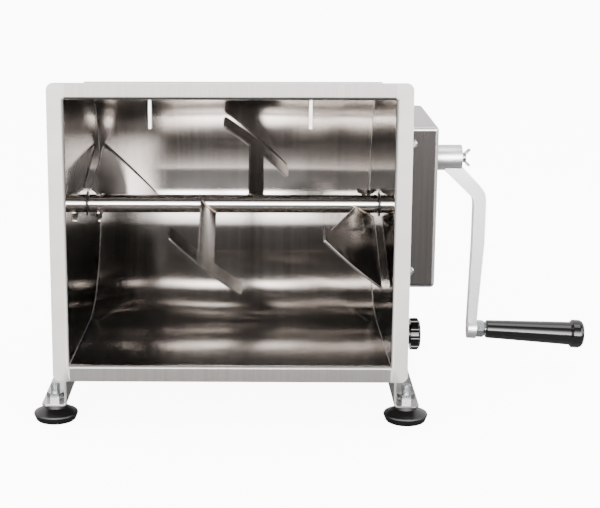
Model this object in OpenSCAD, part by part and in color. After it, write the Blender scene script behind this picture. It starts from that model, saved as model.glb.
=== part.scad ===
// Hand-crank tilting meat mixer: a U-shaped steel tank hangs between two sheet stands,
// four paddles turn in it on a shaft driven through a gear pair by a hand crank.
// +X is the crank side, -Y is the open side of the tipped tank, +Z is up.
// The origin is on the floor, below the middle of the paddle shaft.

/* [Tank] */
// Inside width of the tank, between its end walls
tank_w = 356; // [300:1:440]
// Inside radius of the round bottom
tank_r = 147; // [120:1:165]
// Distance from the paddle shaft axis to the rim face
tank_lip = 204; // [178:1:236]
// Sheet thickness of the tank
tank_t = 1.5; // [1.2:0.1:2]
// Width of the rim, from the inside of the tank
rim_w = 18.5; // [16:0.5:24]
// Outer corner radius of the rim
rim_corner_r = 8; // [4:1:12]
// Inside radius of the bend between wall and rim
bend_r = 2; // [1:0.5:3]
// Angle that the tank is tipped forward from upright
tilt_deg = 88; // [80:1:90]

/* [Stands] */
// Height of the paddle shaft above the floor
shaft_h = 211; // [205:1:260]
// Sheet thickness of the stands
stand_t = 2; // [1.5:0.5:3]
// Gap between a tank end wall and its stand
side_gap = 3; // [2.5:0.5:6]
// Gap between the tipped rim and the front edges of the stands
rest_gap = 0.8; // [0.5:0.1:3]
// Height of the upright front edge above the floor
front_h = 95; // [70:1:110]
// Width of each stand at its top
stand_top_w = 200; // [190:1:220]
// Height of the stand's top above the shaft axis
stand_top_h = 112; // [112:1:130]
// Width of the bottom flange, measured outwards from the stand
foot_flange_w = 26.5; // [22:0.5:34]

/* [Feet] */
// Height of the underside of the bottom flange
foot_h = 22; // [20:1:40]
// Widest diameter of a foot pad
pad_d = 50; // [40:1:50]
// Thread diameter of the foot studs
stud_d = 10; // [8:1:12]
// Distance of the foot studs from the front and rear edges
foot_inset = 22; // [16:1:40]

/* [Paddles] */
// Diameter of the paddle shaft
shaft_d = 22; // [20:0.5:26]
// Clearance between paddle tips and the round bottom
tip_gap = 4.2; // [3:0.1:10]
// Thickness of the paddle plates
paddle_t = 2.5; // [2:0.5:4]
// Angle between a paddle plate and the shaft
paddle_pitch = 43.5; // [35:0.5:55]
// Half length of a T paddle's bar
bar_half = 56.5; // [40:0.5:62]
// Radial width of a T paddle's bar
bar_w = 25; // [16:0.5:32]
// Width of a T paddle's stem
stem_w = 24; // [14:0.5:30]
// Clearance between the end paddles and the end walls
end_gap = 5; // [3:0.5:10]
// Reach of the end paddles towards the middle, along the plate
hook_v = 64; // [50:1:72]
// Radial width of the end paddles' bar at its free end
hook_w = 37; // [24:1:44]
// Distance of the left T paddle from the middle
left_t_x = 30; // [20:1:50]
// Distance of the right T paddle from the middle
right_t_x = 28; // [20:1:50]

/* [Gearbox] */
// Gear module
gear_m = 2; // [1.5:0.5:2]
// Teeth of the drive gear
gear_teeth = 40; // [32:2:40]
// Teeth of the pinion
pinion_teeth = 18; // [16:2:18]
// Face width of the drive gear
gear_face = 14; // [10:1:16]
// Depth of the gearbox cover, outwards from the stand
cover_x = 53.5; // [50:0.5:70]
// Width of the gearbox cover
cover_y = 179; // [170:1:179]
// Reach of the cover below the shaft axis
cover_low = 82; // [76:1:90]
// Reach of the cover above the shaft axis
cover_high = 109.5; // [106:0.5:109.5]
// Sheet thickness of the cover
cover_t = 1.5; // [1:0.5:2]
// Outer edge radius of the cover
cover_r = 5; // [3:0.5:8]

/* [Crank] */
// Distance between the crank axis and the grip, along the arm
crank_r = 216; // [150:1:220]
// Diameter of the crank hub
hub_d = 31; // [28:0.5:40]
// Length of the crank hub
hub_len = 36.5; // [30:0.5:44]
// Outward step of the arm, from the hub's outer end to the arm's outer face
arm_step = 31; // [20:1:40]
// Angle that the arm leans back in towards the stand
arm_lean = 3; // [0:0.5:6]
// Length of the grip
grip_len = 121.5; // [90:0.5:140]
// Grip diameter at its inner end
grip_d1 = 22.4; // [20:0.1:28]
// Grip diameter at its thick end
grip_d2 = 28.7; // [24:0.1:34]
// Diameter of the grip's end bead
bead_d = 35; // [32:0.5:42]

/* [Tilt lock] */
// Diameter of the lock knob
knob_d = 39; // [30:0.5:44]
// Diameter of the lock pin
pin_d = 8; // [6:0.5:9]
// Distance of the lock pin in front of the shaft axis
lock_y = 40; // [30:1:60]
// Radial distance of the lock pin from the round bottom's outside
lock_off = 9.6; // [8:0.1:14]

/* [Hidden] */
$fn = 64;
run_fit = 0.05;        // radial running fit of shafts and pins
weld_gap = 0.05;       // between welded or seated pieces
hole_fit = 0.25;       // radial clearance of bolts in their holes

// Places along X, outwards from the tank
wall_out = tank_w / 2 + tank_t;            // outside of a tank end wall
panel_in = wall_out + side_gap;            // inside of a stand
panel_out = panel_in + stand_t;            // outside of a stand
plate_t = 3;                               // gear plate and bearing plate
plate_out = panel_out + plate_t;
hub_flange_t = side_gap - 1;
hub_end = plate_out + 2.5;                 // outer end of a tank hub
gear_x = hub_end + 2;                      // inner face of the drive gear
bearing_x = gear_x + gear_face + 6;        // inner face of the bearing plate
cover_out = panel_out + cover_x;
hub_x = cover_out + 2;                     // inner face of the crank hub
arm_x = hub_x + hub_len + arm_step;        // outer face of the arm, before it leans in

// Places in the stand's plane, from the shaft axis
rim_half = tank_r + rim_w;                 // half width of the rim, front to rear
rim_back = tank_lip - tank_t;              // distance from the axis to the rim's underside
lean = 90 - tilt_deg;
front_z = front_h - shaft_h;
front_y = (rim_back - front_z * sin(lean)) / cos(lean) - rest_gap;
foot_y = front_y - foot_inset;
foot_x = panel_out + foot_flange_w / 2;

shell_r = tank_r + tank_t;
lock_z = -sqrt(pow(shell_r + lock_off, 2) - pow(lock_y, 2));

// Bores and shafts
hub_bore_d = 30;
hub_tube_d = 38;
hub_flange_d = 60;
stub_d = 16;
tail_d = 14;                               // part of a stub inside the paddle shaft
pivot_bush_d = 44;
bush_flange_d = 52;

gear_off = gear_m * (gear_teeth + pinion_teeth) / 2;   // between the two gear axes

// Colours
STEEL = "silver";
RUBBER = "dimgray";
BLACK = "black";
ZINC = "lightgray";
BRONZE = "peru";
NYLON = "white";

// ---- shared shapes ----

// Moves children to the shaft axis
module at_shaft() { translate([0, 0, shaft_h]) children(); }

// Moves children from the upright tank to the tipped tank
module tipped() { at_shaft() rotate([tilt_deg, 0, 0]) children(); }

// Moves children to the crank axis
module at_crank() { translate([0, 0, shaft_h + gear_off]) children(); }

// Extrudes a front view (Y, Z) along X from x0 to x1
module along_x(x0, x1) {
    translate([x0, 0, 0]) rotate([90, 0, 90]) linear_extrude(height = x1 - x0) children();
}

// Round bar along X
module bar_x(x0, x1, d) { along_x(x0, x1) circle(d = d); }

// Round tube along X
module tube_x(x0, x1, d_out, d_in) {
    along_x(x0, x1) difference() {
        circle(d = d_out);
        circle(d = d_in);
    }
}

// Flat outline of a hexagon across its flats
module hex2d(af) { circle(d = af / cos(30), $fn = 6); }

// Rectangle centred on the origin with round corners
module round_rect(w, h, r) {
    square([w - 2 * r, h], center = true);
    square([w, h - 2 * r], center = true);
    for (sx = [-1, 1], sy = [-1, 1])
        translate([sx * (w / 2 - r), sy * (h / 2 - r)]) circle(r = r);
}

// Box from x0 outwards with round outer edges on all sides but the inner one
module round_box(x0, x1, w, h, r) {
    along_x(x0, x1 - r) round_rect(w, h, r);
    along_x(x0, x1) square([w - 2 * r, h - 2 * r], center = true);
    for (s = [-1, 1]) {
        translate([x1 - r, s * (w / 2 - r), 0]) cylinder(r = r, h = h - 2 * r, center = true);
        translate([x1 - r, 0, s * (h / 2 - r)]) rotate([90, 0, 0])
            cylinder(r = r, h = w - 2 * r, center = true);
        for (t = [-1, 1])
            translate([x1 - r, s * (w / 2 - r), t * (h / 2 - r)]) sphere(r = r);
    }
}

// U section of the tank: round bottom of radius r and straight walls up to height z
module u_section(r, z) {
    circle(r = r, $fn = 180);
    translate([-r, 0]) square([2 * r, z]);
}

// Quarter ring of a sheet bend: its left edge is vertical and its top edge is level
module bend2d(t) {
    translate([t + bend_r, -t - bend_r]) difference() {
        intersection() {
            circle(r = t + bend_r);
            translate([-t - bend_r, 0]) square(t + bend_r);
        }
        circle(r = bend_r);
    }
}

// ---- tank ----

// Front wall, round bottom and rear wall in one sheet, with the two long rim bars
module tank_shell() {
    wall_top = tank_lip - tank_t - bend_r;
    color(STEEL) tipped() along_x(-tank_w / 2, tank_w / 2) {
        difference() {
            u_section(shell_r, wall_top);
            u_section(tank_r, wall_top + 1);
        }
        for (side = [0, 1]) mirror([side, 0]) {
            translate([tank_r, tank_lip]) bend2d(tank_t);
            translate([shell_r + bend_r, tank_lip - tank_t])
                square([rim_w - tank_t - bend_r, tank_t]);
        }
    }
}

// End wall with its rim bar, which runs the full width of the rim
module tank_end(side) {
    wall_top = tank_lip - tank_t - bend_r;
    x0 = tank_w / 2;
    corner_len = rim_w - tank_t;
    color(STEEL) tipped() mirror([side < 0 ? 1 : 0, 0, 0]) {
        difference() {
            along_x(x0, x0 + tank_t) u_section(shell_r, wall_top);
            bar_x(x0 - 1, x0 + tank_t + 1, hub_bore_d);
        }
        translate([x0, shell_r, tank_lip]) rotate([90, 0, 0])
            linear_extrude(height = 2 * shell_r) bend2d(tank_t);
        translate([0, 0, tank_lip - tank_t]) linear_extrude(height = tank_t) {
            translate([x0 + tank_t + bend_r, -rim_half])
                square([rim_w - tank_t - bend_r - rim_corner_r, 2 * rim_half]);
            translate([x0 + rim_w - rim_corner_r - 0.01, -rim_half + rim_corner_r])
                square([rim_corner_r + 0.01, 2 * (rim_half - rim_corner_r)]);
            for (s = [-1, 1]) {
                translate([x0 + rim_w - rim_corner_r, s * (rim_half - rim_corner_r)])
                    circle(r = rim_corner_r);
                translate([x0, s > 0 ? shell_r : -rim_half])
                    square([corner_len - rim_corner_r, corner_len]);
            }
        }
    }
}

// Trunnion that the tank swings on, welded to the outside of an end wall
module tank_hub(side) {
    color(STEEL) at_shaft() mirror([side < 0 ? 1 : 0, 0, 0]) {
        tube_x(wall_out + weld_gap, wall_out + hub_flange_t, hub_flange_d, hub_bore_d);
        tube_x(wall_out + weld_gap, hub_end, hub_tube_d, hub_bore_d);
    }
}

seal_x = tank_w / 2 + 4;                   // outer face of a shaft seal

module shaft_bushes() {
    color(BRONZE) at_shaft() for (side = [0, 1]) mirror([side, 0, 0])
        tube_x(seal_x + 0.3, hub_end - 0.5, hub_bore_d, stub_d + 2 * run_fit);
}

module shaft_seals() {
    color(RUBBER) at_shaft() for (side = [0, 1]) mirror([side, 0, 0])
        tube_x(tank_w / 2 - 1, seal_x, hub_bore_d, stub_d + 0.8);
}

// Two flat tabs inside the rear wall, close to the rim, that hold a lid
tab_x = 87.5;
tab_t = 3.4;
tab_len = 34;
module lid_tabs() {
    tab_w = 10;
    color(STEEL) tipped() for (s = [-1, 1])
        translate([s * tab_x - tab_t / 2, tank_r - tab_len, tank_lip - 36])
            cube([tab_t, tab_len - weld_gap, tab_w]);
}

// Tab under the round bottom with the hole that the lock pin enters when the tank is upright
lug_t = 3;
lug_x = tank_w / 2 - 1.5;                    // outer face of the lug
module lock_lug() {
    lug_w = pin_d + 16;
    color(STEEL) tipped() along_x(lug_x - lug_t, lug_x) difference() {
        rotate(atan2(lock_z, -lock_y)) {
            translate([tank_r, -lug_w / 2]) square([tank_t + lock_off, lug_w]);
            translate([shell_r + lock_off, 0]) circle(d = lug_w);
        }
        circle(r = shell_r + weld_gap, $fn = 180);
        translate([-lock_y, lock_z]) circle(d = pin_d + 1.2);
    }
}

// ---- stands ----

tie_h = 46;                                // height of the rear tie
tie_d = 24;                                // depth of the rear tie
tie_t = 2;
tie_y = front_y - tie_d - 8;               // front face of the rear tie
tie_z = foot_h + stand_t + 6;              // bottom of the rear tie
tie_bolt_d = 8;
tie_bolt_z = [tie_z + 11, tie_z + tie_h - 11];
tie_bolt_y = tie_y + tie_d - 11;

screw_d = 6;                               // screws of the gear plate and bearing plate
post_y = 58;
post_z = [-38, gear_off + 30];

module panel_outline() {
    polygon([[-front_y, foot_h - shaft_h], [front_y, foot_h - shaft_h], [front_y, front_z],
             [stand_top_w / 2, stand_top_h], [-stand_top_w / 2, stand_top_h],
             [-front_y, front_z]]);
}

// Bottom flange seen from above, with its outer corners cut off
module flange_outline() {
    cut = 5;
    x1 = panel_out + foot_flange_w;
    difference() {
        polygon([[panel_in + stand_t + bend_r, -front_y], [x1 - cut, -front_y],
                 [x1, -front_y + cut], [x1, front_y - cut], [x1 - cut, front_y],
                 [panel_in + stand_t + bend_r, front_y]]);
        for (s = [-1, 1]) translate([foot_x, s * foot_y]) circle(d = stud_d + 2 * hole_fit);
    }
}

// Panel and bottom flange of the right-hand stand; the left-hand one is its mirror image
module stand_blank() {
    bend = stand_t + bend_r;
    difference() {
        at_shaft() along_x(panel_in, panel_out) difference() {
            panel_outline();
            translate([-front_y - 1, foot_h - shaft_h - 1]) square([2 * front_y + 2, bend + 1]);
            circle(d = pivot_bush_d);
        }
        for (z = tie_bolt_z) translate([0, tie_bolt_y, z])
            bar_x(panel_in - 1, panel_out + 1, tie_bolt_d + 2 * hole_fit);
    }
    translate([panel_in, front_y, foot_h]) rotate([90, 0, 0]) mirror([0, 1, 0])
        linear_extrude(height = 2 * front_y) bend2d(stand_t);
    translate([0, 0, foot_h]) linear_extrude(height = stand_t) flange_outline();
}

module stand_left() { color(STEEL) mirror([1, 0, 0]) stand_blank(); }

module stand_right() {
    color(STEEL) difference() {
        stand_blank();
        at_shaft() for (s = [-1, 1], z = post_z) translate([0, s * post_y, z])
            countersunk(panel_in, panel_out, hole_fit);
        at_shaft() translate([0, -lock_y, lock_z]) bar_x(panel_in - 1, panel_out + 1, nose_d + 0.2);
    }
}

// Countersunk hole or screw head along +X, from the inside of the stand
module countersunk(x0, x1, fit) {
    translate([x0 - 0.01, 0, 0]) rotate([0, 90, 0])
        cylinder(d1 = 2 * screw_d + 2 * fit, d2 = screw_d + 2 * fit, h = stand_t + 0.01);
    bar_x(x0, x1 + 0.01, screw_d + 2 * fit);
}

// Plain bearings that the tank hubs turn in
module pivot_bushes() {
    color(NYLON) at_shaft() for (side = [0, 1]) mirror([side, 0, 0]) {
        seat = side == 0 ? plate_out : panel_out;
        tube_x(panel_in - 0.4, seat + 1.5, pivot_bush_d - 2 * weld_gap, hub_tube_d + 2 * run_fit);
        tube_x(seat + weld_gap, seat + 1.5, bush_flange_d, hub_tube_d + 2 * run_fit);
    }
}

// Bent channel between the stands at the rear, with a bolted tab at each end
module rear_tie() {
    x1 = panel_in - weld_gap;
    color(STEEL) difference() {
        union() {
            translate([-x1, tie_y, tie_z]) cube([2 * x1, tie_t, tie_h]);
            translate([-x1, tie_y, tie_z]) cube([2 * x1, tie_d, tie_t]);
            translate([-x1, tie_y, tie_z + tie_h - tie_t]) cube([2 * x1, tie_d, tie_t]);
            for (s = [-1, 1]) translate([s * (x1 - tie_t / 2), tie_y + tie_d / 2, tie_z + tie_h / 2])
                cube([tie_t, tie_d, tie_h], center = true);
        }
        for (z = tie_bolt_z) translate([0, tie_bolt_y, z])
            bar_x(-x1 - 1, x1 + 1, tie_bolt_d + 2 * hole_fit);
    }
}

module at_tie_bolts() {
    for (side = [0, 1], z = tie_bolt_z) mirror([side, 0, 0]) translate([0, tie_bolt_y, z])
        children();
}

module tie_bolts() {
    color(ZINC) at_tie_bolts() {
        along_x(panel_out + weld_gap, panel_out + 5.3) hex2d(13);
        bar_x(panel_in - tie_t - 10, panel_out + 1, tie_bolt_d);
    }
}

module tie_nuts() {
    x1 = panel_in - tie_t - 2 * weld_gap;
    color(ZINC) at_tie_bolts() along_x(x1 - 6.5, x1) difference() {
        hex2d(13);
        circle(d = tie_bolt_d);
    }
}

// ---- feet ----

pad_base_d = pad_d - 5;
stud_z = 9;                                // bottom of a stud inside its pad
stud_top = foot_h + stand_t + 19;

module foot_pad(sx, sy) {
    r = pad_d / 2;
    color(BLACK) translate([sx * foot_x, sy * foot_y, 0]) rotate_extrude() difference() {
        union() {
            polygon([[0, 0], [pad_base_d / 2 - 1, 0], [pad_base_d / 2, 1], [r - 0.5, 6], [r, 7.5],
                     [r - 0.6, 9], [r - 3, 10.2], [13, foot_h - 7], [12, foot_h - weld_gap],
                     [0, foot_h - weld_gap]]);
        }
        translate([0, stud_z]) square([stud_d / 2, foot_h]);
    }
}

module at_feet() { for (sx = [-1, 1], sy = [-1, 1]) translate([sx * foot_x, sy * foot_y, 0]) children(); }

module foot_studs() {
    chamfer = 1;
    color(ZINC) at_feet() {
        translate([0, 0, stud_z]) cylinder(d = stud_d, h = stud_top - stud_z - chamfer);
        translate([0, 0, stud_top - chamfer])
            cylinder(d1 = stud_d, d2 = stud_d - 2 * chamfer, h = chamfer);
    }
}

module foot_nuts() {
    nut_h = 8;
    nut_af = 17;
    color(ZINC) at_feet() translate([0, 0, foot_h + stand_t + weld_gap]) difference() {
        intersection() {
            linear_extrude(height = nut_h) hex2d(nut_af);
            cylinder(d1 = 2 * nut_af, d2 = nut_af - 1, h = 2 * nut_af / 2.2 * 0.62, $fn = 64);
        }
        translate([0, 0, -1]) cylinder(d = stud_d, h = nut_h + 2);
    }
}

// ---- gearbox ----

cover_z = (cover_high - cover_low) / 2;    // middle of the cover above the shaft axis
cover_h = cover_high + cover_low;
cover_screw_z = [-cover_low + 21, cover_high - 20];
cover_screw_x = panel_out + 24;
flange_y = cover_y / 2 - cover_t - 0.3;    // outer face of the gear plate's side flanges
flange_t = 2;

// Plate on the stand that carries the gear shafts, with side flanges that hold the cover
module gear_plate() {
    plate_h = cover_h - 2 * cover_t - 2;
    color(ZINC) at_shaft() difference() {
        translate([0, 0, cover_z]) {
            along_x(panel_out + weld_gap, plate_out)
                round_rect(2 * flange_y, plate_h, cover_r);
            for (s = [-1, 1])
                along_x(panel_out + weld_gap, panel_out + 34)
                    translate([s * (flange_y - flange_t / 2), 0])
                        square([flange_t, plate_h - 16], center = true);
        }
        bar_x(panel_out - 1, plate_out + 1, pivot_bush_d);
        translate([0, 0, gear_off]) bar_x(panel_out - 1, plate_out + 1, crank_bush_d);
        for (s = [-1, 1], z = post_z) translate([0, s * post_y, z])
            bar_x(panel_out - 1, plate_out + 1, screw_d + 2 * hole_fit);
        for (z = cover_screw_z) translate([cover_screw_x, 0, z]) rotate([90, 0, 0])
            cylinder(d = 4, h = cover_y, center = true);
        translate([0, -lock_y, lock_z]) bar_x(panel_out - 1, panel_out + 40, barrel_d + 2);
    }
}

crank_d = 16;
crank_bush_d = 22;

module at_posts() { at_shaft() for (s = [-1, 1], z = post_z) translate([0, s * post_y, z]) children(); }

// Flat-head screws through the stand and gear plate into the standoffs
module gear_plate_screws() {
    color(ZINC) at_posts() countersunk(panel_in + 0.1, plate_out + 8, 0);
}

module standoffs() {
    color(ZINC) at_posts() difference() {
        along_x(plate_out + weld_gap, bearing_x - weld_gap) hex2d(12);
        bar_x(plate_out, plate_out + 9, screw_d);
        bar_x(bearing_x - 10, bearing_x, screw_d);
    }
}

// Outer plate of the gearbox frame
module bearing_plate() {
    h = post_z[1] - post_z[0] + 22;
    color(ZINC) at_shaft() difference() {
        along_x(bearing_x, bearing_x + plate_t) translate([0, (post_z[0] + post_z[1]) / 2])
            round_rect(2 * post_y + 22, h, 8);
        bar_x(bearing_x - 1, bearing_x + plate_t + 1, crank_bush_d);
        translate([0, 0, gear_off]) bar_x(bearing_x - 1, bearing_x + plate_t + 1, crank_bush_d);
        for (s = [-1, 1], z = post_z) translate([0, s * post_y, z])
            bar_x(bearing_x - 1, bearing_x + plate_t + 1, screw_d + 2 * hole_fit);
    }
}

module bearing_plate_screws() {
    x0 = bearing_x + plate_t + weld_gap;
    color(ZINC) at_posts() {
        along_x(x0, x0 + 4) hex2d(10);
        bar_x(bearing_x - 8, x0 + 1, screw_d);
    }
}

// Flanged bush: barrel from x0 to x1 with a flange on its inner face
module flanged_bush(x0, x1, bore) {
    tube_x(x0, x1, crank_bush_d, bore + 2 * run_fit);
    tube_x(x0 - 2, x0, crank_bush_d + 6, bore + 2 * run_fit);
}

module drive_bush() {
    color(BRONZE) at_shaft() flanged_bush(bearing_x - weld_gap, bearing_x + plate_t + 2, stub_d);
}

module crank_bushes() {
    color(BRONZE) at_crank() {
        flanged_bush(bearing_x - weld_gap, bearing_x + plate_t + 2, crank_d);
        mirror([1, 0, 0]) flanged_bush(-plate_out - weld_gap, -panel_out - 0.5, crank_d);
    }
}

module gearbox_cover() {
    x0 = panel_out + 0.3;
    shaft_hole_d = crank_d + 8;
    color(STEEL) at_shaft() difference() {
        translate([0, 0, cover_z]) difference() {
            round_box(x0, cover_out, cover_y, cover_h, cover_r);
            round_box(x0 - 1, cover_out - cover_t, cover_y - 2 * cover_t, cover_h - 2 * cover_t,
                      cover_r - cover_t);
        }
        translate([0, 0, gear_off]) bar_x(cover_out - 5, cover_out + 1, shaft_hole_d);
        for (z = cover_screw_z) translate([cover_screw_x, 0, z]) rotate([90, 0, 0])
            cylinder(d = 5, h = cover_y + 2, center = true);
    }
}

// Pan-head screws, two in the front and two in the rear face of the cover
module cover_screws() {
    color(ZINC) at_shaft() for (side = [0, 1], z = cover_screw_z) mirror([0, side, 0])
        translate([cover_screw_x, -cover_y / 2, z]) rotate([90, 0, 0]) {
            difference() {
                union() {
                    translate([0, 0, weld_gap]) cylinder(d = 9, h = 1.6);
                    translate([0, 0, 1.6]) cylinder(d1 = 9, d2 = 6, h = 1);
                }
                for (a = [0, 90]) rotate(a) translate([-2.2, -0.5, 1.4]) cube([4.4, 1, 2]);
            }
            translate([0, 0, -8]) cylinder(d = 4, h = 9);
        }
}

// ---- gears ----

pressure = 20;
backlash = 0.16;                           // taken from the thickness of each tooth

function involute(rb, a) = rb * sqrt(1 + pow(a * PI / 180, 2));
function roll_at(rb, r) = sqrt(pow(r / rb, 2) - 1) * 180 / PI;
function flank_angle(rb, r) = let (a = roll_at(rb, r)) a - atan(a * PI / 180);

// Half angle of a tooth at radius r
function half_tooth(n, r) = let (rp = gear_m * n / 2, rb = rp * cos(pressure))
    (90 / n) - (backlash / 2 / rp) * 180 / PI + flank_angle(rb, rp) - flank_angle(rb, max(r, rb));

// Outline of a spur gear with n teeth, its first tooth centred on +X
module gear2d(n) {
    rp = gear_m * n / 2;
    rb = rp * cos(pressure);
    ra = rp + gear_m;
    rf = rp - 1.25 * gear_m;
    steps = 4;
    r0 = max(rb, rf);
    flank = [for (i = [0 : steps]) r0 + (ra - r0) * i / steps];
    points = [for (k = [0 : n - 1]) let (c = k * 360 / n) each concat(
        [[rf, c - half_tooth(n, r0)]],
        [for (r = flank) [r, c - half_tooth(n, r)]],
        [for (i = [steps : -1 : 0]) [flank[i], c + half_tooth(n, flank[i])]],
        [[rf, c + half_tooth(n, r0)]])];
    polygon([for (p = points) p[0] * [cos(p[1]), sin(p[1])]]);
}

key_w = 5;
key_depth = 1.2;                           // how far a key stands out of its shaft

module keyway(d, fit) {
    translate([0, d / 2 - 2]) square([key_w + fit, 2 * key_depth + 2 + fit], center = true);
}

// Drive gear: a gap of its teeth faces the pinion above it
module drive_gear() {
    hub_out = gear_x + gear_face + 3;
    color(ZINC) at_shaft() {
        along_x(gear_x, gear_x + gear_face) difference() {
            rotate(90 + 180 / gear_teeth) gear2d(gear_teeth);
            circle(d = stub_d + weld_gap);
            keyway(stub_d, 0.1);
            for (a = [45 : 90 : 315]) rotate(a) translate([gear_m * gear_teeth / 3.4, 0]) circle(d = 11);
        }
        along_x(gear_x + gear_face, hub_out) difference() {
            circle(d = stub_d + 14);
            circle(d = stub_d + weld_gap);
            keyway(stub_d, 0.1);
        }
    }
}

module drive_key() {
    color(ZINC) at_shaft() along_x(gear_x + 1, gear_x + gear_face - 1) keyway(stub_d, 0);
}

// Pinion: one of its teeth points down into the drive gear
module pinion() {
    color(ZINC) at_crank() along_x(gear_x - 0.5, gear_x + gear_face + 1.5) difference() {
        rotate(-90) gear2d(pinion_teeth);
        circle(d = crank_d + weld_gap);
        keyway(crank_d, 0.1);
    }
}

module pinion_key() {
    color(ZINC) at_crank() along_x(gear_x + 1, gear_x + gear_face - 1) keyway(crank_d, 0);
}

// ---- paddle shaft ----

shaft_end = tank_w / 2 - 2;                // outer end of the paddle shaft
tail_len = 34;                             // length of a stub inside the paddle shaft
slot_len = 27;
wing_x = shaft_end - 13;
wing_angle = 45;                           // of the left wing screw, below the open side
wing_d = 6;

module drive_stub() {
    color(STEEL) at_shaft() difference() {
        union() {
            bar_x(shaft_end - tail_len, shaft_end, tail_d);
            bar_x(shaft_end, bearing_x + plate_t + 4, stub_d);
        }
        along_x(gear_x + 1, gear_x + gear_face - 1) keyway(stub_d, 0);
        wing_hole(1, 0);
    }
}

// Short stub that carries the left end of the paddle shaft
idle_end = hub_end + 8;
ring_x = hub_end + 2;
module idle_stub() {
    color(STEEL) at_shaft() mirror([1, 0, 0]) difference() {
        union() {
            bar_x(shaft_end - tail_len, shaft_end, tail_d);
            bar_x(shaft_end, idle_end, stub_d);
        }
        tube_x(ring_x, ring_x + 1.3, stub_d + 1, stub_d - 2);
        mirror([1, 0, 0]) wing_hole(-1, 0);
    }
}

module retaining_ring() {
    color(ZINC) at_shaft() mirror([1, 0, 0]) difference() {
        tube_x(ring_x + 0.05, ring_x + 1.25, stub_d + 7, stub_d - 1.8);
        translate([ring_x, -3, 0]) cube([2, 6, stub_d]);
    }
}

// Radial hole of a wing screw: side 1 is the right-hand one, which points up and back
module wing_hole(side, fit) {
    rotate([side > 0 ? wing_angle : 180 + wing_angle, 0, 0])
        translate([side * wing_x, 0, 0]) rotate([-90, 0, 0])
            translate([0, 0, tail_d / 2 - 3]) cylinder(d = wing_d + 2 * fit, h = shaft_d);
}

module paddle_shaft() {
    slot_w = 5;
    color(STEEL) at_shaft() difference() {
        tube_x(-shaft_end, shaft_end, shaft_d, tail_d + weld_gap);
        for (s = [-1, 1]) {
            wing_hole(s, 0.1);
            translate([s * (shaft_end - slot_len / 2 + 1), 0, shaft_d / 2])
                cube([slot_len + 2, slot_w, shaft_d - tail_d], center = true);
        }
    }
}

// Flat paddle plate: outline in (along the shaft, outwards), turned to its pitch,
// aimed at angle aim and cut to fit the shaft
module paddle(x, aim, flip) {
    color(STEEL) at_shaft() difference() {
        translate([x, 0, 0]) rotate([aim, 0, 0]) rotate([0, paddle_pitch, 0])
            mirror([0, flip ? 1 : 0, 0])
                linear_extrude(height = paddle_t, center = true) children();
        bar_x(-tank_w / 2, tank_w / 2, shaft_d + 2 * weld_gap);
    }
}

// The arc that keeps a pitched plate at an even distance from the round bottom
tip_r = tank_r - tip_gap;
edge_r = tip_r / pow(sin(paddle_pitch), 2);
module tip_disc(inset) { translate([0, tip_r - edge_r]) circle(r = edge_r - inset, $fn = 360); }

// T outline: a bar with round ends across a stem
module t_outline() {
    c = 4;
    translate([-stem_w / 2, 0]) square([stem_w, tip_r - bar_w / 2]);
    intersection() {
        difference() {
            tip_disc(0);
            tip_disc(bar_w);
        }
        translate([-bar_half + c, 0]) square([2 * (bar_half - c), tank_r]);
    }
    intersection() {
        difference() {
            tip_disc(c);
            tip_disc(bar_w - c);
        }
        translate([-bar_half, 0]) square([2 * bar_half, tank_r]);
    }
    a = asin((bar_half - c) / edge_r);
    for (s = [-1, 1], r = [edge_r - c, edge_r - bar_w + c])
        translate([s * (bar_half - c), tip_r - edge_r + r * cos(a)]) circle(r = c - 0.1);
}

end_x = tank_w / 2 - 26;                   // where the middle of an end paddle meets the shaft
// End paddle outline: a full web from the shaft to the bar, straight along the end wall
module end_outline() {
    wall_v = (tank_w / 2 - end_gap - end_x) / cos(paddle_pitch);
    hook_u = tip_r - hook_w;
    intersection() {
        tip_disc(0);
        polygon([[wall_v, 0], [wall_v, tank_r], [-hook_v, tank_r], [-hook_v, hook_u],
                 [-hook_v + 12, hook_u - 2], [0, 0]]);
    }
}

aim_left_end = 11.4;
aim_left_t = 20.2;
aim_right_t = 23.8;
aim_right_end = 23.3;

module paddle_end_left() {
    paddle(-end_x, aim_left_end, false) mirror([1, 0]) end_outline();
}
module paddle_t_left() { paddle(-left_t_x, aim_left_t, true) t_outline(); }
module paddle_t_right() { paddle(right_t_x, aim_right_t, false) t_outline(); }
module paddle_end_right() { paddle(end_x, aim_right_end, true) end_outline(); }

// Wing screws that pin the paddle shaft to its two stubs
module wing_screw(turn) {
    wing_t = 2.4;
    seat = shaft_d / 2;
    translate([0, 0, tail_d / 2 - 2.9]) cylinder(d = wing_d, h = seat - tail_d / 2 + 5);
    translate([0, 0, seat + 0.3]) cylinder(d1 = 10, d2 = 8.5, h = 8);
    rotate([90, 0, turn]) translate([0, seat + 4.5, 0]) linear_extrude(height = wing_t, center = true)
        for (s = [0, 1]) mirror([s, 0]) {
            polygon([[0, -2], [4, -2], [11, 2.5], [8.2, 6.6], [2.5, 3], [0, 3]]);
            translate([9, 4.2]) circle(r = 2.8);
        }
}

module wing_screws() {
    color(STEEL) at_shaft() {
        rotate([wing_angle, 0, 0]) translate([wing_x, 0, 0]) rotate([-90, 0, 0]) wing_screw(0);
        rotate([180 + wing_angle, 0, 0]) translate([-wing_x, 0, 0]) rotate([-90, 0, 0])
            wing_screw(90);
    }
}

// ---- crank ----

tail_af = 12;                              // square end of the crank shaft
thread_d = 10;
hub_out = hub_x + hub_len;
nut_thread_d = 6;                          // thread that holds the arm on
nut_body_h = 5.5;
thread_end = hub_out + nut_body_h - 0.5;

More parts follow.
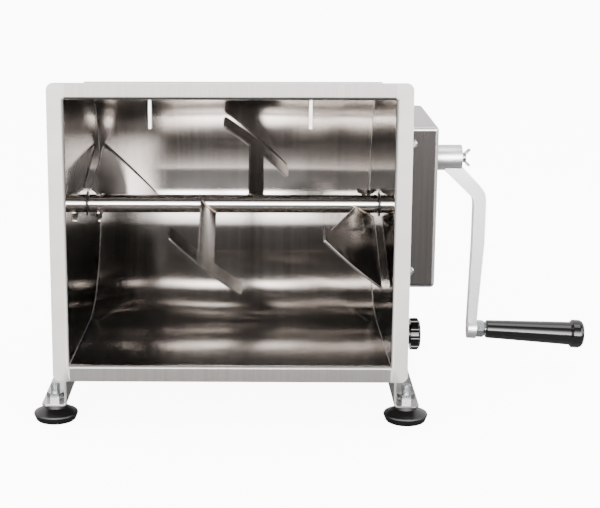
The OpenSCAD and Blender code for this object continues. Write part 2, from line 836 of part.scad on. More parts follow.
module crank_shaft() {
    color(ZINC) at_crank() difference() {
        union() {
            bar_x(panel_out + 0.5, hub_x - 0.3, crank_d);
            along_x(hub_x - 1, hub_out - 1) intersection() {
                square(tail_af, center = true);
                circle(d = tail_af * 1.3);
            }
            bar_x(hub_out - 1.5, thread_end, nut_thread_d);
        }
        along_x(gear_x + 1, gear_x + gear_face - 1) keyway(crank_d, 0);
    }
}

// Arm outline seen from the front (X, Z), from the crank axis down to the grip axis
arm_w1 = 14.5;                             // arm width at the top of its straight part
arm_w2 = 11;                               // arm width at its grip end
boss_d = 25;
boss_len = 10.5;
arm_bend_z = -104;                         // where the arm starts to lean in
grip_drop = crank_r * cos(arm_lean);
function lean_in(z) = (z < arm_bend_z) ? (arm_bend_z - z) * tan(arm_lean) : 0;
grip_x = arm_x - lean_in(-grip_drop);      // outer face of the grip boss

module arm_front() {
    x1 = arm_x;
    x2 = grip_x - 0.3;
    polygon([[hub_out - 20, -4], [hub_out, -4], [hub_out, -10], [x1 - 7, -35], [x1 - 3.2, -39.5],
             [x1 - 1, -45], [x1, -53], [x1, arm_bend_z], [x2, -grip_drop + 4],
             [x2 - arm_w2, -grip_drop + 4], [x1 - arm_w1, arm_bend_z], [x1 - arm_w1, -56],
             [x1 - arm_w1 - 1.5, -50], [x1 - arm_w1 - 4, -46.5], [hub_out - 20, -15]]);
}

// The same arm seen from the side (Y, Z)
module arm_side() {
    top = 10;
    low = 8.5;
    polygon([[-top, 5], [top, 5], [top, -30], [low, -grip_drop], [-low, -grip_drop], [-top, -30]]);
}

// Moves children to the grip end of the arm, with X along the grip
module at_grip() { at_crank() translate([grip_x, 0, -grip_drop]) rotate([0, arm_lean, 0]) children(); }

module crank_arm() {
    color("gainsboro") difference() {
        union() {
            at_crank() bar_x(hub_x, hub_out, hub_d);
            at_crank() intersection() {
                rotate([90, 0, 0]) linear_extrude(height = 60, center = true) arm_front();
                along_x(hub_x, arm_x + 5) arm_side();
            }
            at_grip() bar_x(-boss_len, 0, boss_d);
        }
        at_crank() along_x(hub_x - 1, hub_out + 1) square(tail_af + 0.2, center = true);
        at_grip() bar_x(-boss_len - 1, 1, thread_d);
    }
}

module crank_wing_nut() {
    x0 = hub_out + weld_gap;
    wing_t = 4;
    body_d1 = 13;
    body_d2 = 10;
    color(ZINC) at_crank() difference() {
        union() {
            translate([x0, 0, 0]) rotate([0, 90, 0]) cylinder(d1 = body_d1, d2 = body_d2, h = nut_body_h);
            translate([x0, 0, 0]) rotate([90, 0, 0]) linear_extrude(height = wing_t, center = true)
                for (s = [0, 1]) mirror([0, s])
                    polygon([[1, 0], [1, 5], [3, 5.6], [6.8, 9.6], [8.6, 10.8], [10.6, 10.4],
                             [11, 8.6], [9.6, 7.4], [5.2, 3.2], [5.2, 0]]);
        }
        bar_x(x0 - 1, x0 + nut_body_h + 1, nut_thread_d);
    }
}

// ---- grip ----

grip_shank_d = 10;
grip_nut_h = 10.5;
grip_start = grip_nut_h + 1.6;
head_depth = 9;                            // depth of the bolt head's pocket

// Shoulder bolt through the grip, screwed into the arm
module grip_bolt() {
    x1 = grip_start + grip_len;
    color(ZINC) at_grip() difference() {
        union() {
            bar_x(-boss_len, x1 - head_depth + 0.3, grip_shank_d);
            bar_x(x1 - head_depth + 0.3, x1 - 2.5, 17);
        }
        along_x(x1 - 6, x1) hex2d(8);
    }
}

module grip_nut() {
    color(ZINC) at_grip() difference() {
        intersection() {
            along_x(weld_gap, grip_nut_h) hex2d(19);
            translate([-11, 0, 0]) rotate([0, 90, 0]) cylinder(d1 = 50, d2 = 18, h = grip_nut_h + 11);
        }
        bar_x(-1, grip_nut_h + 1, grip_shank_d);
    }
}

// Turned grip: a taper, a groove and an end bead
module grip() {
    bead_len = 17;
    taper = grip_len - bead_len;
    r1 = grip_d1 / 2;
    r2 = grip_d2 / 2;
    rb = bead_d / 2;
    steps = 8;
    e = 6.5;                               // edge radius of the bead
    color(BLACK) at_grip() translate([grip_start, 0, 0]) rotate([0, 90, 0]) rotate_extrude() difference() {
        polygon(concat(
            [[0, 0], [r1 - 1.5, 0], [r1, 1.5], [r2, taper - 2], [r2, taper - 1], [rb - 3, taper],
             [rb, taper + 3]],
            [for (i = [0 : steps]) let (a = i * 90 / steps)
                [rb - e + e * cos(a), grip_len - e + e * sin(a)]],
            [[0, grip_len]]));
        translate([0, -1]) square([grip_shank_d / 2 + run_fit, grip_len + 2]);
        translate([0, grip_len - head_depth]) square([9, head_depth + 1]);
    }
}

// ---- tilt lock ----

lock_travel = panel_in - lug_x + lug_t + 0.6;
nose_d = 14;
barrel_d = 20;
chamber_d = 14.5;
collar_d = 14;
spring_len = 4.4;                          // with the pin pulled out
chamber_x0 = panel_out + 2.5;
chamber_x1 = chamber_x0 + lock_travel + 2.6 + spring_len;
barrel_x1 = chamber_x1 + 2;
skirt_d = 24;
knob_in = barrel_x1 + lock_travel + 0.5;   // inner end wall of the knob's skirt
knob_t = 12;
barrel_hex_x1 = panel_out + 6;             // outer end of the barrel's hexagon

module at_lock() { at_shaft() translate([0, -lock_y, lock_z]) children(); }

// Screwed sleeve that guides the lock pin
module lock_barrel() {
    color(ZINC) at_lock() difference() {
        union() {
            bar_x(panel_in + 0.1, panel_out + 1, nose_d);
            bar_x(panel_out + weld_gap, barrel_x1, barrel_d);
            along_x(panel_out + weld_gap, barrel_hex_x1) hex2d(22);
        }
        bar_x(panel_in - 1, barrel_x1 + 1, pin_d + 2 * run_fit);
        bar_x(chamber_x0, chamber_x1, chamber_d);
    }
}

// Coil spring, shown as it lies with the pin pulled out
spring_turns = 4;
spring_wire = 0.7;
spring_sides = 6;
spring_rings = spring_turns * 18;
function spring_point(i, k) = let (
    a = i * 360 / 18,
    b = k * 360 / spring_sides,
    r = 5.5 + spring_wire / 2 * cos(b),
    x = spring_wire / 2 + i * (spring_len - 0.2 - spring_wire) / spring_rings
        + spring_wire / 2 * sin(b))
    [x, r * cos(a), r * sin(a)];

module lock_spring() {
    s = spring_sides;
    points = [for (i = [0 : spring_rings], k = [0 : s - 1]) spring_point(i, k)];
    sides = [for (i = [0 : spring_rings - 1], k = [0 : s - 1])
        [i * s + k, (i + 1) * s + k, (i + 1) * s + (k + 1) % s, i * s + (k + 1) % s]];
    first = [for (k = [0 : s - 1]) k];
    last = [for (k = [s - 1 : -1 : 0]) spring_rings * s + k];
    color(ZINC) at_lock() translate([chamber_x1 - spring_len + 0.1, 0, 0])
        polyhedron(points, concat([first], sides, [last]), convexity = 10);
}

module lock_pin() {
    tip = panel_in + 0.1;
    collar_x = chamber_x1 - spring_len - 2.2;
    color(ZINC) at_lock() {
        translate([tip, 0, 0]) rotate([0, 90, 0]) cylinder(d1 = pin_d - 2, d2 = pin_d, h = 1);
        bar_x(tip + 1, knob_in + knob_t - 4, pin_d);
        bar_x(collar_x, collar_x + 2, collar_d);
    }
}

// Fluted knob with a hollow skirt that slides over the barrel
module lock_knob() {
    flutes = 12;
    flute_d = 7;
    dome = 3;
    skirt = knob_in - lock_travel - barrel_hex_x1 - 0.5;
    color(BLACK) at_lock() difference() {
        union() {
            bar_x(knob_in - skirt, knob_in + 1, skirt_d);
            bar_x(knob_in, knob_in + knob_t - dome, knob_d);
            translate([knob_in + knob_t - dome, 0, 0]) rotate([0, 90, 0])
                cylinder(d1 = knob_d, d2 = knob_d - 9, h = dome);
        }
        bar_x(knob_in - skirt - 1, knob_in, barrel_d + 0.8);
        bar_x(knob_in - 1, knob_in + knob_t - 4, pin_d);
        for (i = [0 : flutes - 1]) rotate([i * 360 / flutes, 0, 0])
            translate([0, 0, knob_d / 2 + flute_d / 2 - 1.8]) bar_x(knob_in - 1, knob_in + knob_t + 1, flute_d);
    }
}

tank_shell();
tank_end(-1);  // tank_end_left
tank_end(1);  // tank_end_right
tank_hub(-1);  // tank_hub_left
tank_hub(1);  // tank_hub_right
shaft_bushes();
shaft_seals();
lid_tabs();
lock_lug();
stand_left();
stand_right();
pivot_bushes();
rear_tie();
tie_bolts();
tie_nuts();
foot_pad(-1, -1);  // foot_pad_front_left
foot_pad(1, -1);  // foot_pad_front_right
foot_pad(-1, 1);  // foot_pad_rear_left
foot_pad(1, 1);  // foot_pad_rear_right
foot_studs();
foot_nuts();
gear_plate();
gear_plate_screws();
standoffs();
bearing_plate();
bearing_plate_screws();
drive_bush();
crank_bushes();
gearbox_cover();
cover_screws();
drive_gear();
drive_key();
drive_stub();
idle_stub();
retaining_ring();
paddle_shaft();
paddle_end_left();
paddle_t_left();
paddle_t_right();
paddle_end_right();
wing_screws();
crank_shaft();
pinion();
pinion_key();
crank_arm();
crank_wing_nut();
grip_bolt();
grip_nut();
grip();
lock_barrel();
lock_spring();
lock_pin();
lock_knob();
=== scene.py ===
import bmesh
import bpy
import math
from mathutils import Matrix, Vector


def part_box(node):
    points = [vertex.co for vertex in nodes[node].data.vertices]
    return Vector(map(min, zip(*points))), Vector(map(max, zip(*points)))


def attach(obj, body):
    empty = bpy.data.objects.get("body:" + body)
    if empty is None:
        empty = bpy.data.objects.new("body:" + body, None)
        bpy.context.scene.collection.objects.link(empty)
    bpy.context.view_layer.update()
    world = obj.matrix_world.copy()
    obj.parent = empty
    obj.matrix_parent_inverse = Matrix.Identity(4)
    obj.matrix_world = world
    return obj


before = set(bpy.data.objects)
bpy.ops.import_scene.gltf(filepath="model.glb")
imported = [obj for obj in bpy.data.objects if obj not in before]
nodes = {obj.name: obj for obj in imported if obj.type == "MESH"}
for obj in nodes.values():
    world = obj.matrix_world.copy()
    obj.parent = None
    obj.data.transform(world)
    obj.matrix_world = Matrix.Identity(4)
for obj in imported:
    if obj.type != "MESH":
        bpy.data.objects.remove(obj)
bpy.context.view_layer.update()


# Camera. A long lens stands well back and a little above the tank, and looks down by
# thirteen degrees. The small shift keeps the crank in the picture.
camera = bpy.data.objects.new("camera", bpy.data.cameras.new("camera"))
bpy.context.scene.collection.objects.link(camera)
bpy.context.scene.camera = camera
camera.location = (0.0311, -1.7380, 0.5747)
camera.rotation_euler = (math.radians(90 - 13.19), 0, math.radians(0.773))
camera.data.sensor_width = 36
camera.data.lens = 87.04
camera.data.shift_x = 0.101
camera.data.shift_y = -0.026
camera.data.dof.use_dof = False


# Room. One long soft box stands low in front, the rest of the front is dark, and the wall
# behind is white. Polished steel shows the soft box as bright bands between dark ones.
def linear(code):
    channels = [int(code[i:i + 2], 16) / 255 for i in (1, 3, 5)]
    return [c / 12.92 if c <= 0.04045 else ((c + 0.055) / 1.055) ** 2.4 for c in channels] + [1]


# An input is given another node's output, a colour written as "#rrggbb", or a plain value
def set_inputs(tree, node, inputs):
    for name, source in inputs.items():
        if isinstance(source, bpy.types.NodeSocket):
            tree.links.new(source, node.inputs[name])
        elif isinstance(source, str):
            node.inputs[name].default_value = linear(source)
        else:
            node.inputs[name].default_value = source


def add_node(tree, kind, inputs={}, **settings):
    node = tree.nodes.new(kind)
    for name, value in settings.items():
        setattr(node, name, value)
    set_inputs(tree, node, inputs)
    return node


def calculate(tree, operation, *values):
    return add_node(tree, "ShaderNodeMath", dict(enumerate(values)), operation=operation).outputs[0]


def remap(tree, value, start, end, low=0.0, high=1.0, curve="LINEAR"):
    node = add_node(tree, "ShaderNodeMapRange", {
        "Value": value, "From Min": start, "From Max": end, "To Min": low, "To Max": high},
        interpolation_type=curve)
    return node.outputs["Result"]


# A mix node takes its share at input 0, two numbers at 2 and 3, and two colours at 6 and 7
def mix_numbers(tree, share, first, second):
    return add_node(tree, "ShaderNodeMix", {0: share, 2: first, 3: second},
                    data_type="FLOAT").outputs[0]


def mix_colours(tree, share, first, second):
    return add_node(tree, "ShaderNodeMix", {0: share, 6: first, 7: second},
                    data_type="RGBA").outputs[2]


def set_stops(ramp_node, stops):
    ramp = ramp_node.color_ramp
    while len(ramp.elements) < len(stops):
        ramp.elements.new(1.0)
    for element, (position, colour) in zip(ramp.elements, stops):
        element.position = position
        element.color = colour


BOX_POWER = 30      # strength of the world's light where the soft box is brightest
BEHIND = 0.07       # brightness of the wall behind, as a share of that
BOX_END = 0.12      # brightness beyond the soft box's two ends, as a share of its middle
# Brightness of the room in front, as a share of the soft box, by the sine of the height angle
FRONT_WALL = [(-0.14, 0.008), (-0.09, 0.6), (0.0, 1.0), (0.21, 0.75), (0.35, 0.5), (0.42, 0.3),
              (0.51, 0.12), (0.60, 0.055), (0.67, 0.028), (0.77, 0.015)]
LOWEST = -0.2       # the sine at the low end of the colour ramp that holds those stops
BOX_FADES = 0.45    # how far sideways the box starts to fade, as a sine
BOX_STOPS = 0.85
WALL_STARTS = -0.1  # how far back the wall behind starts to take over, as a sine
WALL_WHOLE = 0.3

world = bpy.data.worlds.new("studio room")
bpy.context.scene.world = world
world.use_nodes = True
room = world.node_tree
sides = add_node(room, "ShaderNodeSeparateXYZ", {
    0: add_node(room, "ShaderNodeTexCoord").outputs["Generated"]})
height = remap(room, sides.outputs["Z"], LOWEST, 1.0)
front = add_node(room, "ShaderNodeValToRGB", {"Fac": height})
set_stops(front, [((sine - LOWEST) / (1 - LOWEST), (share, share, share, 1))
                  for sine, share in FRONT_WALL])
off_centre = calculate(room, "ABSOLUTE", sides.outputs["X"])
box_ends = remap(room, off_centre, BOX_FADES, BOX_STOPS, 1.0, BOX_END, "SMOOTHSTEP")
front_light = calculate(room, "MULTIPLY", front.outputs["Color"], box_ends)
behind = remap(room, sides.outputs["Y"], WALL_STARTS, WALL_WHOLE, curve="SMOOTHSTEP")
whole = mix_numbers(room, behind, front_light, BEHIND)
set_inputs(room, room.nodes["Background"], {
    "Strength": calculate(room, "MULTIPLY", whole, BOX_POWER), "Color": "#fffdfb"})


# Floor. A sheet of white studio paper that glows only for camera rays, so that it shows as an
# even white. What the steel mirrors of it is unlit paper, darker in front of the machine.
def new_material(name):
    made = bpy.data.materials.new(name)
    made.use_nodes = True
    return made, made.node_tree, made.node_tree.nodes["Principled BSDF"]


FLOOR_REACH = 12
PAPER_GLOW = 9.0
PAPER_WHITE = 0.9
PAPER_IN_FRONT = 0.06
PAPER_BEHIND = 0.7
FRONT_EDGE = -0.2       # between these two places, front to back, the paper turns paler
BACK_EDGE = 0.5

floor_sheet = bmesh.new()
bmesh.ops.create_grid(floor_sheet, x_segments=1, y_segments=1, size=FLOOR_REACH)
floor_mesh = bpy.data.meshes.new("floor")
floor_sheet.to_mesh(floor_mesh)
floor_sheet.free()
floor = bpy.data.objects.new("floor", floor_mesh)
bpy.context.scene.collection.objects.link(floor)
paper, tree, shader = new_material("matt white studio paper")
depth = add_node(tree, "ShaderNodeSeparateXYZ", {
    0: add_node(tree, "ShaderNodeTexCoord").outputs["Object"]})
mirrored = remap(tree, depth.outputs["Y"], FRONT_EDGE, BACK_EDGE, PAPER_IN_FRONT, PAPER_BEHIND)
looked_at = add_node(tree, "ShaderNodeLightPath").outputs["Is Camera Ray"]
set_inputs(tree, shader, {
    "Base Color": mix_numbers(tree, looked_at, mirrored, PAPER_WHITE),
    "Emission Color": "#ffffff",
    "Emission Strength": calculate(tree, "MULTIPLY", looked_at, PAPER_GLOW),
    "Roughness": 0.9})
floor_mesh.materials.append(paper)


# Lamps. Two soft boxes at the sides and one above fill the outside of the machine.
# Each of them points at the middle of the tank.
LAMP_TARGET = Vector((0, 0, 0.2))


def soft_box(name, place, width, height, power):
    light = bpy.data.lights.new(name, "AREA")
    light.shape = "RECTANGLE"
    light.size = width
    light.size_y = height
    light.energy = power
    made = bpy.data.objects.new(name, light)
    made.location = place
    made.rotation_euler = (LAMP_TARGET - Vector(place)).to_track_quat("-Z", "Y").to_euler()
    bpy.context.scene.collection.objects.link(made)


soft_box("soft box above", (0.0, -0.3, 2.3), 2.4, 1.2, 40)
soft_box("soft box left", (-2.2, -1.2, 1.2), 0.8, 1.6, 30)
soft_box("soft box right", (2.3, -1.0, 1.1), 0.8, 1.6, 30)


# Tank. Stainless sheet 1.5 mm thick, bent round the bottom and brushed round the bend, with
# end walls welded on. The fine lines spread a reflection along the tank and leave it sharp the
# other way. The flat rim round the mouth is sanded to a pale satin.
LEAN = math.radians(2)
SHAFT_HEIGHT = 0.211
RIM_REACH = 0.204       # from the shaft to the rim's face
RIM_THICKNESS = 0.0018
RIM_DEPTH = RIM_REACH + SHAFT_HEIGHT * math.sin(LEAN)
SATIN_FADE = 0.0003
SATIN_ROUGHNESS = 0.55
LINES_PER_METRE = 800   # real brush lines are four times finer, drawn coarser so that they show
LINE_LENGTHS = 10       # how often a line changes along its own length, in each metre
BANDS_PER_METRE = 300   # broader bands where the brush pressed harder
BAND_LENGTHS = 2
GRAIN_ROUGHNESS = 0.6
GLOSSIEST = 0.94        # the bands change the roughness by these two factors
DULLEST = 1.08
LINE_DEPTH = 0.000002
LINE_STRENGTH = 0.01


def drawn_noise(tree, scale, detail, roughness):
    place = add_node(tree, "ShaderNodeTexCoord").outputs["Object"]
    stretched = add_node(tree, "ShaderNodeMapping", {"Vector": place, "Scale": scale})
    noise = add_node(tree, "ShaderNodeTexNoise", {
        "Vector": stretched.outputs["Vector"], "Scale": 1.0, "Detail": detail,
        "Roughness": roughness})
    return noise.outputs["Fac"]


def even_noise(tree, scale, detail, roughness=0.5):
    place = add_node(tree, "ShaderNodeTexCoord").outputs["Object"]
    noise = add_node(tree, "ShaderNodeTexNoise", {
        "Vector": place, "Scale": scale, "Detail": detail, "Roughness": roughness})
    return noise.outputs["Fac"]


def bump(tree, height, strength, depth):
    return add_node(tree, "ShaderNodeBump", {
        "Height": height, "Strength": strength, "Distance": depth}).outputs["Normal"]


# Where spread is above 0, the direction in along is never quite square to a face: it would
# have no length in that face, and the steel there would turn black
def brushed_steel(name, colours, roughness, spread, along, across_grain, satin_rim=False):
    made, tree, shader = new_material(name)
    lines = drawn_noise(tree, [LINES_PER_METRE if axis in across_grain else LINE_LENGTHS
                               for axis in range(3)], 2.0, GRAIN_ROUGHNESS)
    bands = drawn_noise(tree, [BANDS_PER_METRE if axis in across_grain else BAND_LENGTHS
                               for axis in range(3)], 3.0, GRAIN_ROUGHNESS)
    grain = calculate(tree, "ADD", bands, calculate(tree, "SUBTRACT", lines, 0.5))
    colour = mix_colours(tree, grain, *colours)
    gloss = remap(tree, bands, 0.3, 0.7, roughness * GLOSSIEST, roughness * DULLEST)
    if satin_rim:
        out_of_mouth = add_node(tree, "ShaderNodeVectorMath", {
            0: add_node(tree, "ShaderNodeTexCoord").outputs["Object"],
            1: (0, -math.cos(LEAN), math.sin(LEAN))}, operation="DOT_PRODUCT").outputs["Value"]
        rim_back = RIM_DEPTH - RIM_THICKNESS
        on_rim = remap(tree, out_of_mouth, rim_back - SATIN_FADE, rim_back)
        colour = mix_colours(tree, on_rim, colour, mix_colours(tree, grain, "#959290", "#a9a6a4"))
        gloss = mix_numbers(tree, on_rim, gloss, SATIN_ROUGHNESS)
    direction = add_node(tree, "ShaderNodeCombineXYZ", dict(zip("XYZ", along)))
    set_inputs(tree, shader, {
        "Base Color": colour,
        "Roughness": gloss,
        "Normal": bump(tree, lines, LINE_STRENGTH, LINE_DEPTH),
        "Tangent": direction.outputs["Vector"],
        "Metallic": 1.0,
        "Anisotropic": spread})
    return made


def finish_nodes(material, *names):
    for name in names:
        nodes[name].data.materials.clear()
        nodes[name].data.materials.append(material)


edge_steel, tree, shader = new_material("stainless steel, edges eased by hand")
filing = even_noise(tree, 900.0, 2.0)
set_inputs(tree, shader, {
    "Base Color": "#d6d4d2",
    "Roughness": remap(tree, filing, 0, 1, 0.38, 0.52),
    "Metallic": 1.0})

SAME_POINT = 0.000001
SHARP_EDGE = math.radians(40)
EDGE_SLOT = 1


def round_edges(radius, *names):
    for name in names:
        nodes[name].data.materials.append(edge_steel)
        weld = nodes[name].modifiers.new("joined edges", "WELD")
        weld.merge_threshold = SAME_POINT
        bevel = nodes[name].modifiers.new("eased edges", "BEVEL")
        bevel.width = radius
        bevel.segments = 2
        bevel.limit_method = "ANGLE"
        bevel.angle_limit = SHARP_EDGE
        bevel.material = EDGE_SLOT


finish_nodes(brushed_steel("stainless sheet, brushed round the tank", ("#aca8a5", "#bebab7"),
                           roughness=0.165, spread=0.92, along=(1, 0.05, 0.02),
                           across_grain=[0], satin_rim=True),
             "tank_shell", "lock_lug", "tank_hub_left", "tank_hub_right")
finish_nodes(brushed_steel("stainless sheet, polished end walls", ("#aaa6a3", "#b5b1ae"),
                           roughness=0.07, spread=0.2, along=(0, 1, 0.3),
                           across_grain=[1], satin_rim=True),
             "tank_end_left", "tank_end_right")
round_edges(0.0004, "tank_end_left", "tank_end_right", "tank_shell")


# Stands. Stainless panels 2 mm thick with a flange bent out for the feet, tied by a channel
# at the back. The flat bars inside the tank's upper wall have the same brushed finish.
finish_nodes(brushed_steel("stainless sheet, brushed along the stands", ("#b4b1ae", "#c4c1be"),
                           roughness=0.3, spread=0.4, along=(0.3, 1, 0.05), across_grain=[2]),
             "stand_left", "stand_right", "rear_tie", "lid_tabs")
round_edges(0.0004, "stand_left", "stand_right", "lid_tabs")


# Fasteners and gears. Steel, cut or rolled, then plated with bright zinc: a cool grey with a
# slightly cloudy shine.
zinc, tree, shader = new_material("bright zinc plating")
clouds = even_noise(tree, 350.0, 3.0)
set_inputs(tree, shader, {
    "Base Color": mix_colours(tree, clouds, "#85898c", "#aeb2b4"),
    "Roughness": remap(tree, clouds, 0, 1, 0.18, 0.34),
    "Metallic": 1.0})
finish_nodes(zinc, "tie_bolts", "tie_nuts", "foot_studs", "foot_nuts", "gear_plate",
             "gear_plate_screws", "standoffs", "bearing_plate", "bearing_plate_screws",
             "cover_screws", "drive_gear", "drive_key", "retaining_ring", "pinion", "pinion_key",
             "crank_wing_nut", "grip_bolt", "grip_nut", "lock_barrel", "lock_spring")


# Stud threads. The rolled M10 thread on the end of each foot's stud, above its nut: a ridge
# 1.5 mm in pitch that winds round the bar.
STUD_RADIUS = 0.005
THREAD_PITCH = 0.0015
THREAD_TURNS = 6
THREAD_STEPS = 24
RIDGE_FOOT = STUD_RADIUS - 0.0002
RIDGE_CREST = STUD_RADIUS + 0.0004
RIDGE_HALF = 0.0006

low_stud, high_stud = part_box("foot_studs")
nut_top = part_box("foot_nuts")[1][2]
foot_places = [(x, y) for x in (low_stud[0] + STUD_RADIUS, high_stud[0] - STUD_RADIUS)
               for y in (low_stud[1] + STUD_RADIUS, high_stud[1] - STUD_RADIUS)]
threads = bmesh.new()
for x, y in foot_places:
    start = nut_top + THREAD_PITCH / 2
    corners = [(RIDGE_FOOT, -RIDGE_HALF), (RIDGE_CREST, 0.0), (RIDGE_FOOT, RIDGE_HALF)]
    points = [threads.verts.new((x + out, y, start + up)) for out, up in corners]
    ridge = [threads.edges.new((points[i], points[(i + 1) % 3])) for i in range(3)]
    bmesh.ops.spin(threads, geom=points + ridge, cent=(x, y, 0), axis=(0, 0, 1),
                   dvec=(0, 0, THREAD_PITCH / THREAD_STEPS), angle=2 * math.pi * THREAD_TURNS,
                   steps=THREAD_STEPS * THREAD_TURNS)
bmesh.ops.holes_fill(threads, edges=threads.edges[:], sides=3)
bmesh.ops.recalc_face_normals(threads, faces=threads.faces[:])


def new_piece(name, shape, material, body):
    mesh = bpy.data.meshes.new(name)
    shape.to_mesh(mesh)
    shape.free()
    for face in mesh.polygons:
        face.use_smooth = True
    mesh.materials.append(material)
    piece = bpy.data.objects.new(name, mesh)
    bpy.context.scene.collection.objects.link(piece)
    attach(piece, body)


new_piece("stud_threads", threads, zinc, "frame")


# Feet and shaft seals. Black moulded rubber: a dull skin with a fine, even grain from
# the mould.
rubber, tree, shader = new_material("black moulded rubber")
grain = even_noise(tree, 1200.0, 2.0)
set_inputs(tree, shader, {
    "Base Color": mix_colours(tree, grain, "#020202", "#070707"),
    "Normal": bump(tree, grain, 0.25, 0.00004),
    "Roughness": 0.42,
    "IOR": 1.45})
finish_nodes(rubber, "foot_pad_front_left", "foot_pad_front_right", "foot_pad_rear_left",
             "foot_pad_rear_right", "shaft_seals")


# Gearbox cover. Stainless sheet brushed from top to bottom. Its bends are rougher, and a pale grey
# is painted on them as a painted highlight along the bends.
STROKE_LENGTHS = 6
FLAT = 0.995            # largest of the normal's three parts where the sheet is flat
BENT = 0.93             # the same, well inside a bend

cover, tree, shader = new_material("stainless sheet, brushed up the gearbox")
strokes = drawn_noise(tree, (LINES_PER_METRE, LINES_PER_METRE, STROKE_LENGTHS), 3.0, 0.65)
sheet = mix_colours(tree, strokes, "#635f5e", "#8a8684")
facing = add_node(tree, "ShaderNodeSeparateXYZ", {
    0: add_node(tree, "ShaderNodeVectorMath", {
        0: add_node(tree, "ShaderNodeTexCoord").outputs["Normal"]},
        operation="ABSOLUTE").outputs["Vector"]})
flatter = calculate(tree, "MAXIMUM", facing.outputs["X"], facing.outputs["Y"])
flattest = calculate(tree, "MAXIMUM", flatter, facing.outputs["Z"])
# Mask of the bends: their pale grey colour is a painted highlight, and their roughness is raised
bend_painted_highlight_and_roughness = remap(tree, flattest, FLAT, BENT)
direction = add_node(tree, "ShaderNodeCombineXYZ", {"X": 1, "Y": 0.9, "Z": 0.05})
set_inputs(tree, shader, {
    "Base Color": mix_colours(tree, bend_painted_highlight_and_roughness, sheet, "#b8b5b3"),
    "Roughness": mix_numbers(tree, bend_painted_highlight_and_roughness, 0.17, 0.42),
    "Tangent": direction.outputs["Vector"],
    "Metallic": 1.0,
    "Anisotropic": 0.6})
finish_nodes(cover, "gearbox_cover")


# Bearings. Sintered bronze soaked in oil for the shafts, with its open pores as fine specks,
# and one pair of natural nylon bushes for the tank.
bronze, tree, shader = new_material("oiled sintered bronze")
pores = even_noise(tree, 2500.0, 3.0)
set_inputs(tree, shader, {
    "Base Color": mix_colours(tree, pores, "#7d5c30", "#b88f58"),
    "Roughness": 0.38,
    "Metallic": 1.0})
finish_nodes(bronze, "shaft_bushes", "drive_bush", "crank_bushes")

nylon, tree, shader = new_material("turned natural nylon")
turning = even_noise(tree, 600.0, 1.0)
set_inputs(tree, shader, {
    "Base Color": mix_colours(tree, turning, "#d6d1c2", "#e8e4d9"),
    "Roughness": 0.45})
finish_nodes(nylon, "pivot_bushes")


# Shafts. Stainless bar and tube, turned and polished, so that it mirrors in long clean bands.
# The polish has no direction, so a reflection spreads the same way all round.
finish_nodes(brushed_steel("turned and polished stainless bar", ("#b8b3af", "#c6c2be"),
                           roughness=0.13, spread=0.0, along=(1, 0, 0), across_grain=[]),
             "paddle_shaft", "drive_stub", "idle_stub", "wing_screws", "crank_shaft", "lock_pin")


# Paddles. Stainless plate 2.5 mm thick, cut out, eased along the edges and set at a pitch.
# It is darker and duller than the sheet of the tank.
PADDLES = ("paddle_end_left", "paddle_t_left", "paddle_t_right", "paddle_end_right")
finish_nodes(brushed_steel("stainless plate of the paddles", ("#757270", "#85817f"),
                           roughness=0.24, spread=0.3, along=(1, 0.05, 0.02), across_grain=[0]),
             *PADDLES)
round_edges(0.0006, *PADDLES)


# Weld beads. Each paddle is welded to the shaft along both faces. The bead is a row of small
# overlapping drops, silver with straw and blue where the heat coloured it.
SHAFT_RADIUS = 0.011
PITCH = math.radians(43.5)
HALF_PLATE = 0.00125
DROP_RADIUS = 0.0014
DROP_STEP = 0.0013
DROP_LIFT = 0.0004      # how far the middle of a drop stands off the plate
DROP_SHAPE = (1.0, 1.15, 0.8, 1.0)
# Where each paddle meets the shaft, the degrees that it is turned round the shaft, the side
# of the shaft that it leaves (1 or -1), and where its weld starts and stops along the plate
ROOTS = [(-0.152, 11.4, 1, -0.013, -0.001), (-0.030, 20.2, -1, -0.011, 0.011),
         (0.028, 23.8, 1, -0.011, 0.011), (0.152, 23.3, -1, 0.001, 0.013)]

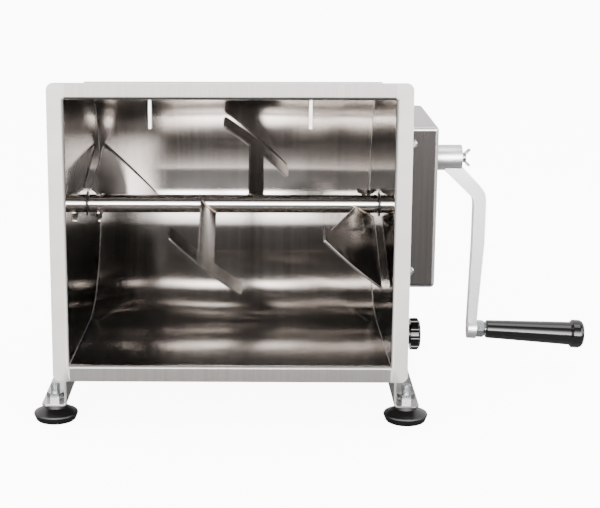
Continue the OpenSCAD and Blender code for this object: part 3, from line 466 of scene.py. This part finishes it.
welds = bmesh.new()
for x, aim, side, first, last in ROOTS:
    turn = Matrix.Translation((x, 0, SHAFT_HEIGHT)) @ Matrix.Rotation(math.radians(aim), 4, "X") \
        @ Matrix.Rotation(PITCH, 4, "Y")
    for face in (-1, 1):
        for i in range(int((last - first) / DROP_STEP) + 1):
            along = first + i * DROP_STEP
            level = -along * math.sin(PITCH) + face * HALF_PLATE * math.cos(PITCH)
            out = math.sqrt(max(SHAFT_RADIUS ** 2 - level ** 2, 0))
            drop = turn @ Matrix.Translation((along, side * out, face * (HALF_PLATE + DROP_LIFT)))
            bmesh.ops.create_icosphere(welds, subdivisions=2, radius=DROP_RADIUS,
                                       matrix=drop @ Matrix.Diagonal(DROP_SHAPE))
weld_steel, tree, shader = new_material("stainless weld, coloured by heat")
heat_colours = add_node(tree, "ShaderNodeValToRGB", {"Fac": even_noise(tree, 160.0, 2.0)})
set_stops(heat_colours, [(0.34, linear("#6d6c7c")), (0.46, linear("#b49a74")),
                         (0.66, linear("#cfccc9"))])
set_inputs(tree, shader, {
    "Base Color": heat_colours.outputs["Color"],
    "Roughness": 0.28,
    "Metallic": 1.0})
new_piece("paddle_welds", welds, weld_steel, "agitator")


# Crank arm. Aluminium cast in one piece with its hub and tumbled, which leaves a pale, softly
# dimpled skin.
cast, tree, shader = new_material("tumbled cast aluminium")
dimples = even_noise(tree, 420.0, 3.0, 0.6)
set_inputs(tree, shader, {
    "Base Color": mix_colours(tree, dimples, "#b9babb", "#e2e2e2"),
    "Roughness": remap(tree, dimples, 0, 1, 0.28, 0.42),
    "Normal": bump(tree, dimples, 0.5, 0.0002),
    "Metallic": 1.0})
finish_nodes(cast, "crank_arm")
round_edges(0.001, "crank_arm")


# Grip and lock knob. Black phenolic, moulded and buffed to a gloss. Faint flow marks in the
# resin change its shine a little from place to place.
phenolic, tree, shader = new_material("gloss black phenolic")
flow = even_noise(tree, 90.0, 2.0)
set_inputs(tree, shader, {
    "Base Color": mix_colours(tree, flow, "#020202", "#060606"),
    "Roughness": remap(tree, flow, 0, 1, 0.08, 0.16)})
finish_nodes(phenolic, "grip", "lock_knob")
